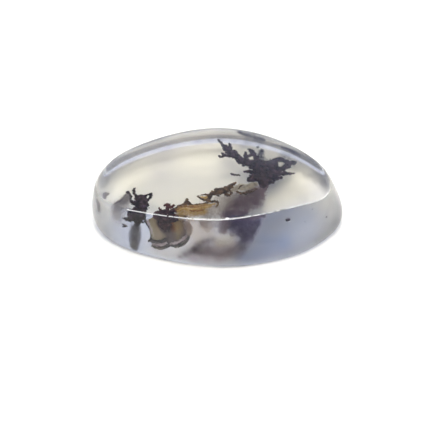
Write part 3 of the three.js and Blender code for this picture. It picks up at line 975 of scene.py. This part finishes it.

# %% The blurred arms, and the dark line along the rear rim, which is painted shade and a painted reflection of the tree
DARK_CLOUD_AND_PAINTED_RIM = {
    "blurred upright": ((262, 160, 3.4, 0.3), (260.8, 154, 3.8, 0.25), (262.3, 149.5, 4.0, 0.12)),
    "faint blob": ((256.6, 147.2, 3.6, 0.12), (257.8, 146.2, 3.6, 0.1)),
    "arm blur": ((275, 161, 3.6, 0.25), (283, 158.5, 3.8, 0.3), (291, 160.5, 4.0, 0.25)),
    # Painted reflection and painted shade: the rear rim mirrors the black tree here, then the dark room.
    "rim left, painted reflection of the tree": (
        (238, 131.5, 0.8, 0.16), (247, 134.5, 0.9, 0.26), (255, 136.5, 1.0, 0.34), (264, 140, 1.0, 0.22)),
    "rim right, painted shade": ((282, 146, 1.0, 0.16), (290, 150.5, 1.0, 0.2), (298, 155, 1.0, 0.26)),
}
dark_cloud = grow_smoky(
    "dark_cloud", lay(DARK_CLOUD_AND_PAINTED_RIM), dark_smoke_and_painted_rim, seed=23, density=840, grain=0.04, drift=0.5)

# %% [markdown]
# ## Clouds at the left, gold haze and the scallop
#
# Under the left tree hangs a grey lens, and a pale wing spreads to the end of the stone. Gold haze
# fills the band over the rosette. The pale scallop at the foot of the black tree is moss, but so fine
# that it is made as dense smoke.

# %% Grey clouds at the left
GREY_CLOUD = {
    "lens": (
        (135, 225.5, 0.8, 0.26), (133.4, 232, 0.9, 0.32), (133, 239, 0.9, 0.32), (133.6, 248.5, 0.9, 0.22)),
    "lens right": (
        (137, 225.5, 0.8, 0.24), (137.8, 232, 0.9, 0.3), (136.8, 239, 0.9, 0.3), (135.2, 248.5, 0.9, 0.2)),
    "wing edge": ((126.6, 193.2, 1.2, 0.05), (121.5, 199.8, 1.1, 0.06), (114.5, 204, 1.0, 0.06)),
}
grey_cloud = grow_smoky("grey_cloud", lay(GREY_CLOUD), grey_smoke, seed=24, grain=0.04, gaps=0.15, drift=0.4)

WING = {
    "upper": (
        (127, 195, 1.2, 0.16), (122, 201, 1.1, 0.34), (116.5, 206.5, 1.0, 0.4), (114.5, 212, 0.9, 0.36)),
    "inner": ((128, 197, 1.3, 0.2), (126.4, 202, 1.2, 0.34), (122, 206.5, 1.1, 0.4)),
    "low": ((119, 209.5, 0.9, 0.5), (118, 214.5, 0.8, 0.55), (117, 219.5, 0.8, 0.4)),
    "olive spot": ((104, 193.4, 0.8, 0.12), (106, 193.6, 0.8, 0.16), (108.2, 194, 0.8, 0.12)),
    "olive tail": ((104.5, 195, 0.8, 0.14), (104.8, 197.8, 0.8, 0.09)),
    "sliver": ((96.2, 200.2, 0.6, 0.1), (98.3, 204.5, 0.6, 0.14), (99.3, 212.5, 0.6, 0.1)),
}
wing = grow_smoky("wing", lay(WING), pale_grey_smoke, seed=29, density=900, gaps=0.1, drift=0.4)

# %% Gold haze and the pale scallop
GOLD_HAZE = {
    "upper": (
        (177, 211, 1.0, 0.22), (184, 208.6, 1.0, 0.3), (193, 208.6, 1.0, 0.32), (202, 207.6, 1.0, 0.3),
        (210, 205.5, 1.0, 0.16)),
    "lower": (
        (178, 213.6, 0.7, 0.18), (186, 213, 0.7, 0.28), (196, 213.4, 0.7, 0.3), (206, 211.5, 0.7, 0.26)),
}
gold_haze = grow_smoky("gold_haze", lay(GOLD_HAZE), gold_moss, seed=30, grain=0.04, gaps=0.2, drift=0.2)

PALE_MOSS = {
    "scallop": (
        (240.5, 188.6, 2.4, 0.18), (244, 186.8, 2.4, 0.3), (248, 187.4, 2.4, 0.24), (252, 185.2, 2.4, 0.28),
        (256, 183.6, 2.4, 0.12)),
    "streak": (
        (227.5, 192.4, 2.2, 0.1), (232, 190, 2.2, 0.16), (237, 188, 2.3, 0.2), (241, 184.8, 2.3, 0.12)),
}
pale_scallop = grow_smoky(
    "pale_scallop", lay(PALE_MOSS), pale_moss, seed=13, density=1800, drift=0.5, wisp=0.5)

# %% [markdown]
# ## The banded rosette
#
# Close behind the left of the wall hangs a bag of moss with a flounced hem. Its two round folds end in
# a pale band between two dark ones, like the rings of an onion. It could be grown too, but growth has
# no clean edge to band. So it is one closed shell, a front sheet and a back sheet that share their
# rim. Every corner keeps three shares, and the material paints by them: how far across it is, how far
# down, and how high above the hem.

# %% The outline of the rosette
# Across and down in the picture along the ridge above it, then down and across along its sides
ROSETTE_TOP = ((145, 221.5), (149, 219), (154, 217), (160, 216.9), (173, 218.2), (184, 220), (188, 222.5))
ROSETTE_LEFT = (
    (214, 149.5), (218, 147), (221, 145.4), (225, 146.6), (228.5, 149.3), (232, 149.6), (236, 150.6),
    (238.5, 149.8), (240.5, 148.4), (243, 152), (249, 154),
)
ROSETTE_RIGHT = ((216, 187.5), (222, 186.5), (229, 186.5), (233, 189), (236, 190), (240, 189), (249, 188))
# The folds of the hem: the middle, the half width, the top and the drop of each, and how square it is
HEM_FOLDS = ((160.5, 12.0, 240.0, 8.8, 3.0), (177.0, 13.2, 233.0, 14.0, 2.5))


def read_off(rows, value):
    """The value between the rows of a short table."""
    return float(np.interp(value, [row[0] for row in rows], [row[1] for row in rows]))


def hem_at(across):
    """How far down the hem hangs."""
    return max(
        top + drop * math.sqrt(max(0, 1 - min(1, abs(across - middle) / half) ** square))
        for middle, half, top, drop, square in HEM_FOLDS
    )


print("the hem hangs down to, at the middles of its folds:", [hem_at(fold[0]) for fold in HEM_FOLDS])

# %% Where a corner of the rosette lies
ROSETTE_COLUMNS = 120
ROSETTE_ROWS = 80
# A corner is found by a first guess between these two spots across, bettered so many times
FIRST_GUESS = (147, 189)
BETTERINGS = 3
# How deep the left and the right side lie, how far the folds are pushed back, and how thick it is, in mm
ROSETTE_RUN = (1.15, 1.75)
ROSETTE_BULGE = 0.3
ROSETTE_THICKNESS = 0.9
ROSETTE_PLEATS = 2
# How squarely it closes at its sides and at its hem, and how fast it opens under the ridge
SIDE_SQUARENESS = 4
HEM_SQUARENESS = 6
RIDGE_OPENING = 8
# The pixels over which the third share, the height above the hem, goes from 0 to 1
HEM_FADE = 12


def rosette_corner(share, fall, side):
    """A corner of the front (0) or back (1) sheet, and its three shares."""
    across = FIRST_GUESS[0] + (FIRST_GUESS[1] - FIRST_GUESS[0]) * share
    for _ in range(BETTERINGS):
        top, hem = read_off(ROSETTE_TOP, across), hem_at(across)
        down = top + (hem - top) * fall
        left, right = read_off(ROSETTE_LEFT, down), read_off(ROSETTE_RIGHT, down)
        across = left + (right - left) * share
    closing = (1 - (2 * share - 1) ** SIDE_SQUARENESS) * (1 - fall**HEM_SQUARENESS)
    fullness = closing * min(1, RIDGE_OPENING * fall)
    pleats = 0.5 + 0.5 * math.cos(math.tau * ROSETTE_PLEATS * share)
    run = ROSETTE_RUN[0] + (ROSETTE_RUN[1] - ROSETTE_RUN[0]) * share
    run += ROSETTE_BULGE * pleats * fullness + side * ROSETTE_THICKNESS * fullness
    return seen(across, down, run), (share, fall, min(1, (hem - down) / HEM_FADE))


middle, _ = rosette_corner(0.5, 0.5, 0)
print("middle of the front sheet, in mm:", [round(x / MM, 2) for x in middle])


# %% Join the corners into a closed shell
WELD_GAP = 0.0001 * MM


def weld_shell(piece):
    """Close the seams between the sheets of a piece, and count the edges that stay open."""
    weld = bmesh.new()
    weld.from_mesh(piece.data)
    bmesh.ops.remove_doubles(weld, verts=weld.verts, dist=WELD_GAP)
    bmesh.ops.dissolve_degenerate(weld, edges=weld.edges, dist=WELD_GAP)
    bmesh.ops.recalc_face_normals(weld, faces=weld.faces)
    open_edges = sum(len(edge.link_faces) != 2 for edge in weld.edges)
    weld.to_mesh(piece.data)
    weld.free()
    return open_edges


row_falls = [row / ROSETTE_ROWS for row in range(ROSETTE_ROWS + 1)]
column_shares = [column / ROSETTE_COLUMNS for column in range(ROSETTE_COLUMNS + 1)]
corners = [
    rosette_corner(share, fall, side) for side in (0, 1) for fall in row_falls for share in column_shares]
places, shares = zip(*corners)
columns = len(column_shares)
back = len(row_falls) * columns
faces = []
for row in range(ROSETTE_ROWS):
    for column in range(ROSETTE_COLUMNS):
        corner = row * columns + column
        front = (corner, corner + columns, corner + columns + 1, corner + 1)
        faces.append(front)
        faces.append(tuple(back + index for index in reversed(front)))
rosette = make_piece("rosette", places, faces)
for label, values in zip(("across", "fall", "lift"), zip(*shares)):
    rosette.data.attributes.new(label, "FLOAT", "POINT").data.foreach_set("value", values)
print("rosette: open edges:", weld_shell(rosette), "faces:", len(rosette.data.polygons))

# %% The colours of the rosette
# Share across, and the colour there, near the top and near the hem
UPPER_COLOURS = (
    (0.0, (0.05, 0.055, 0.04)), (0.05, (0.5, 0.45, 0.33)), (0.1, (0.31, 0.25, 0.15)),
    (0.25, (0.25, 0.18, 0.1)), (0.31, (0.03, 0.012, 0.018)), (0.52, (0.025, 0.008, 0.015)),
    (0.58, (0.12, 0.035, 0.015)), (0.66, (0.2, 0.08, 0.03)), (0.74, (0.27, 0.18, 0.075)),
    (0.85, (0.22, 0.155, 0.08)), (1.0, (0.13, 0.095, 0.095)),
)
LOWER_COLOURS = (
    (0.0, (0.07, 0.06, 0.04)), (0.07, (0.44, 0.38, 0.27)), (0.12, (0.33, 0.26, 0.17)),
    (0.28, (0.3, 0.23, 0.15)), (0.42, (0.1, 0.075, 0.062)), (0.55, (0.075, 0.052, 0.05)),
    (0.72, (0.17, 0.125, 0.065)), (0.88, (0.09, 0.062, 0.065)), (1.0, (0.19, 0.15, 0.15)),
)
# Height above the hem as a share of the fade, and the colour there
HEM_COLOURS = (
    (0.0, (0.05, 0.045, 0.04)), (0.3, (0.07, 0.06, 0.06)), (0.5, (0.1, 0.075, 0.075)),
    (1.0, (0.13, 0.11, 0.09)),
)
# Size in mm and detail of the noise, and how far it pushes each share
MOSS_PATCH = 0.6
MOSS_DETAIL = 5
WANDER = {"across": 0.14, "fall": 0.4, "lift": 0.06}
# Between which shares the upper colours give way to the lower ones, and those of the hem to both
LOWER_FADE = (0.3, 0.62)
ABOVE_HEM = (0.52, 0.7)
print("tones across:", len(UPPER_COLOURS), "and", len(LOWER_COLOURS), "and at the hem:", len(HEM_COLOURS))

# %% Paint the rosette by its three shares
rosette_moss, moss_tree, moss_shader = new_material("rosette_moss", {
    "Roughness": 0.7, "Specular IOR Level": 0.2})
place = add(moss_tree, "ShaderNodeTexCoord").outputs["Object"]
noise = add(moss_tree, "ShaderNodeTexNoise", inputs={
    "Vector": place, "Scale": 1 / (MOSS_PATCH * MM), "Detail": MOSS_DETAIL}).outputs["Fac"]


def wandering(label):
    """A share kept by the corners, pushed to and fro by the noise."""
    level = add(moss_tree, "ShaderNodeAttribute", {"attribute_name": label}).outputs["Fac"]
    push = calc(moss_tree, "MULTIPLY_ADD", noise, WANDER[label], -WANDER[label] / 2)
    return calc(moss_tree, "ADD", level, push)


across, fall, lift = (wandering(label) for label in WANDER)
upper = add_ramp(moss_tree, across, UPPER_COLOURS)
lower = add_ramp(moss_tree, across, LOWER_COLOURS)
body = mix_colours(moss_tree, smooth_step(moss_tree, fall, *LOWER_FADE), upper, lower)
hem = add_ramp(moss_tree, lift, HEM_COLOURS)
hemmed = mix_colours(moss_tree, smooth_step(moss_tree, lift, *ABOVE_HEM), hem, body)
moss_tree.links.new(hemmed, moss_shader.inputs["Base Color"])
rosette.data.materials.append(rosette_moss)
print("nodes for the rosette's colours:", len(moss_tree.nodes))

# %% [markdown]
# ## The heart and the hem of the rosette
#
# A dark heart lies over the upper part of the bag, under a purple band. The bands of the hem stand out
# a little from the sheet. All of them are crusts with fine knobs, laid just in front of it.

# %% The dark heart
ROSETTE_HEART = {
    "top": (
        (153.5, 217.4, 0.8, 0.08), (160, 217.8, 0.8, 0.2), (166, 218.6, 0.8, 0.28), (172, 219.4, 0.8, 0.22),
        (178, 219.9, 0.8, 0.08)),
    "left": ((160.8, 220, 0.8, 0.3), (162, 224, 0.8, 0.36), (164, 228, 0.8, 0.3), (166.6, 231, 0.8, 0.14)),
    "right": ((166, 220.5, 0.8, 0.4), (167.2, 224.5, 0.8, 0.38), (166.6, 228, 0.8, 0.26)),
    "purple band": (
        (154, 213.6, 0.7, 0.07), (159, 212.3, 0.8, 0.17), (165, 211.8, 0.8, 0.24), (171, 211.6, 0.8, 0.24),
        (176, 211.4, 0.8, 0.1)),
}
heart_purple = mottled("heart_purple", 0.5, (0.012, 0.004, 0.006), (0.035, 0.01, 0.014), (0.07, 0.028, 0.03))
rosette_heart = grow_knobbly("rosette_heart", lay(ROSETTE_HEART), heart_purple, seed=18, knob_girth=0.16)

# %% The pale and the dark bands of the hem
PALE_HEM = {
    "left": (
        (152.3, 244, 1.0, 0.1), (156, 244.6, 1.0, 0.16), (161, 244.6, 1.0, 0.18),
        (166.3, 242.9, 1.0, 0.12)),
    "right": (
        (170.6, 244, 1.0, 0.1), (176, 242.9, 1.0, 0.13), (180.4, 240.8, 1.0, 0.12),
        (184.4, 237.6, 1.0, 0.12), (188, 233.2, 1.0, 0.08)),
    "left rim": (
        (147.4, 220.6, 0.95, 0.07), (148.4, 223.6, 0.95, 0.1), (150.2, 228, 0.95, 0.08),
        (152, 233, 0.95, 0.04)),
}
hem_pale = mottled("hem_pale", 0.5, (0.24, 0.19, 0.19), (0.42, 0.34, 0.35), (0.55, 0.47, 0.48))
pale_hem = grow_knobbly("pale_hem", lay(PALE_HEM), hem_pale, seed=16, knob_girth=0.1)

DARK_HEM = {
    "left outer": (
        (151.6, 245.6, 1.0, 0.07), (155, 247.4, 1.0, 0.12), (160.4, 247.9, 1.0, 0.14),
        (165.6, 247.4, 1.0, 0.12), (169.6, 245.6, 1.0, 0.07)),
    "left inner": (
        (148.4, 240.8, 1.0, 0.08), (150.6, 239.8, 1.0, 0.14), (153.8, 241, 1.0, 0.12),
        (158, 241.4, 1.0, 0.13), (162.5, 240.6, 1.0, 0.12), (165.8, 239, 1.0, 0.08)),
    "right outer": (
        (171.5, 246, 1.0, 0.08), (176, 246.6, 1.0, 0.12), (180.5, 245.3, 1.0, 0.13),
        (184.6, 242.6, 1.0, 0.12), (187.6, 239, 1.0, 0.1), (189, 235, 1.0, 0.05)),
    "left edge": (
        (144.8, 219, 1.0, 0.1), (146, 222.2, 1.0, 0.1), (148, 226.2, 1.0, 0.04), (149.4, 229.5, 1.0, 0.03)),
}
hem_dark = mottled("hem_dark", 0.5, (0.025, 0.022, 0.02), (0.05, 0.04, 0.035), (0.09, 0.075, 0.065))
dark_hem = grow_knobbly("dark_hem", lay(DARK_HEM), hem_dark, seed=17, knob_girth=0.1)

# %% [markdown]
# ## Specks, and the worn edge with its painted glint
#
# A few specks sit close behind the wall. The crisp edge along the front is the first thing that gets
# knocked. It shows as a fine white line, partly its tiny chips and partly the glint of the light on
# the edge, and both are painted here as white grains: a painted highlight. The line is made of grains
# as well, half sunk in the edge, in a row that follows the middle of the edge's rounding.

# %% Specks
SPECKS = {
    "arrow": ((122.2, 223.8, 0.5, 0.08), (125, 225.2, 0.5, 0.12), (127.6, 226.2, 0.5, 0.06)),
    "arrow barb": ((122.6, 226.6, 0.5, 0.07), (125.5, 226.2, 0.5, 0.12)),
    "wall": ((286.8, 219.8, 0.5, 0.17), (289, 219.6, 0.5, 0.17)),
    "wall high": ((312.3, 209.2, 0.5, 0.06), (313, 208.8, 0.5, 0.07)),
    "wall low": ((304.6, 221.8, 0.5, 0.04), (305.6, 221.8, 0.5, 0.05)),
    "wall end": ((326, 217.5, 0.5, 0.07), (326.8, 216.3, 0.5, 0.08)),
}
specks = grow_knobbly("specks", lay(SPECKS), black_oxide, seed=15, knob_girth=0.06)

# %% Worn edge, and the glint painted on it
# The worn stretch, where the glint is painted, runs between these places, counted in stations
WEAR_AND_GLINT_STATIONS = (9.75, 15.6)
WEAR_AND_GLINT_GIRTH = 0.03
wear_and_glint_sections = range(*(int(place / len(STATIONS) * SECTION_COUNT) for place in WEAR_AND_GLINT_STATIONS))
wear_and_glint_places = [Vector(skin[i * ring_count + edge_ring]) for i in wear_and_glint_sections]
wear_and_glint_links = [(i, i + 1) for i in range(len(wear_and_glint_places) - 1)]
wear_and_glint_laid = (wear_and_glint_places, wear_and_glint_links, [WEAR_AND_GLINT_GIRTH * MM] * len(wear_and_glint_places))
# The white of these grains is a painted highlight: it stands for the glint of the light along the edge as
# well as its chips.
wear_and_glint_colour = mottled("worn_edge", 0.5, (0.7, 0.7, 0.72), (0.85, 0.85, 0.86), (0.95, 0.95, 0.95))
# The margin is negative, because these grains may stick out of the skin.
worn_edge = grow_smoky(
    "worn_edge", wear_and_glint_laid, wear_and_glint_colour, seed=31, density=330, grain=0.035, gaps=0.34, drift=0, wisp=0.5,
    margin=-0.03)

# One chip is larger: it is the brightest spot of the painted highlight along the edge.
# Its spots lie right on the skin: across and down in the picture, and girth in mm
CHIP_AND_GLINT = ((225.4, 218.9, 0.04), (227, 218.6, 0.12), (228.8, 218.4, 0.04))
chip_and_glint_places = [seen(across, down, 0) for across, down, _ in CHIP_AND_GLINT]
chip_and_glint_laid = (chip_and_glint_places, [(0, 1), (1, 2)], [girth * MM for _, _, girth in CHIP_AND_GLINT])
chip = grow_knobbly("chip", chip_and_glint_laid, wear_and_glint_colour, seed=32, knob_girth=0.05)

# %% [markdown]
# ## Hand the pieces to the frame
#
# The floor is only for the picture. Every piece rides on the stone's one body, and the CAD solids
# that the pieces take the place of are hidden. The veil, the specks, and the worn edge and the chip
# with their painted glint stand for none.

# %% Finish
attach(stone, "root")
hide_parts("agate")
for piece in (
    black_tree, left_tree, brown_moss, crown_dots, gold_band, rust_streaks, pale_scallop,
    mauve_cloud, purple_cloud, brown_cloud, brown_veil, dark_cloud, grey_cloud,
    wing, gold_haze, rosette, rosette_heart, pale_hem, dark_hem, specks, worn_edge, chip,
):
    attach(piece, "root")
for piece in (black_tree, mauve_cloud, purple_cloud, brown_cloud, dark_cloud, pale_scallop):
    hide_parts("black_tree")
for piece in (left_tree, grey_cloud, wing):
    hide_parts("left_tree")
for piece in (
    rosette, rosette_heart, pale_hem, dark_hem, gold_haze, gold_band, rust_streaks, brown_moss, crown_dots,
):
    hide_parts("rosette")
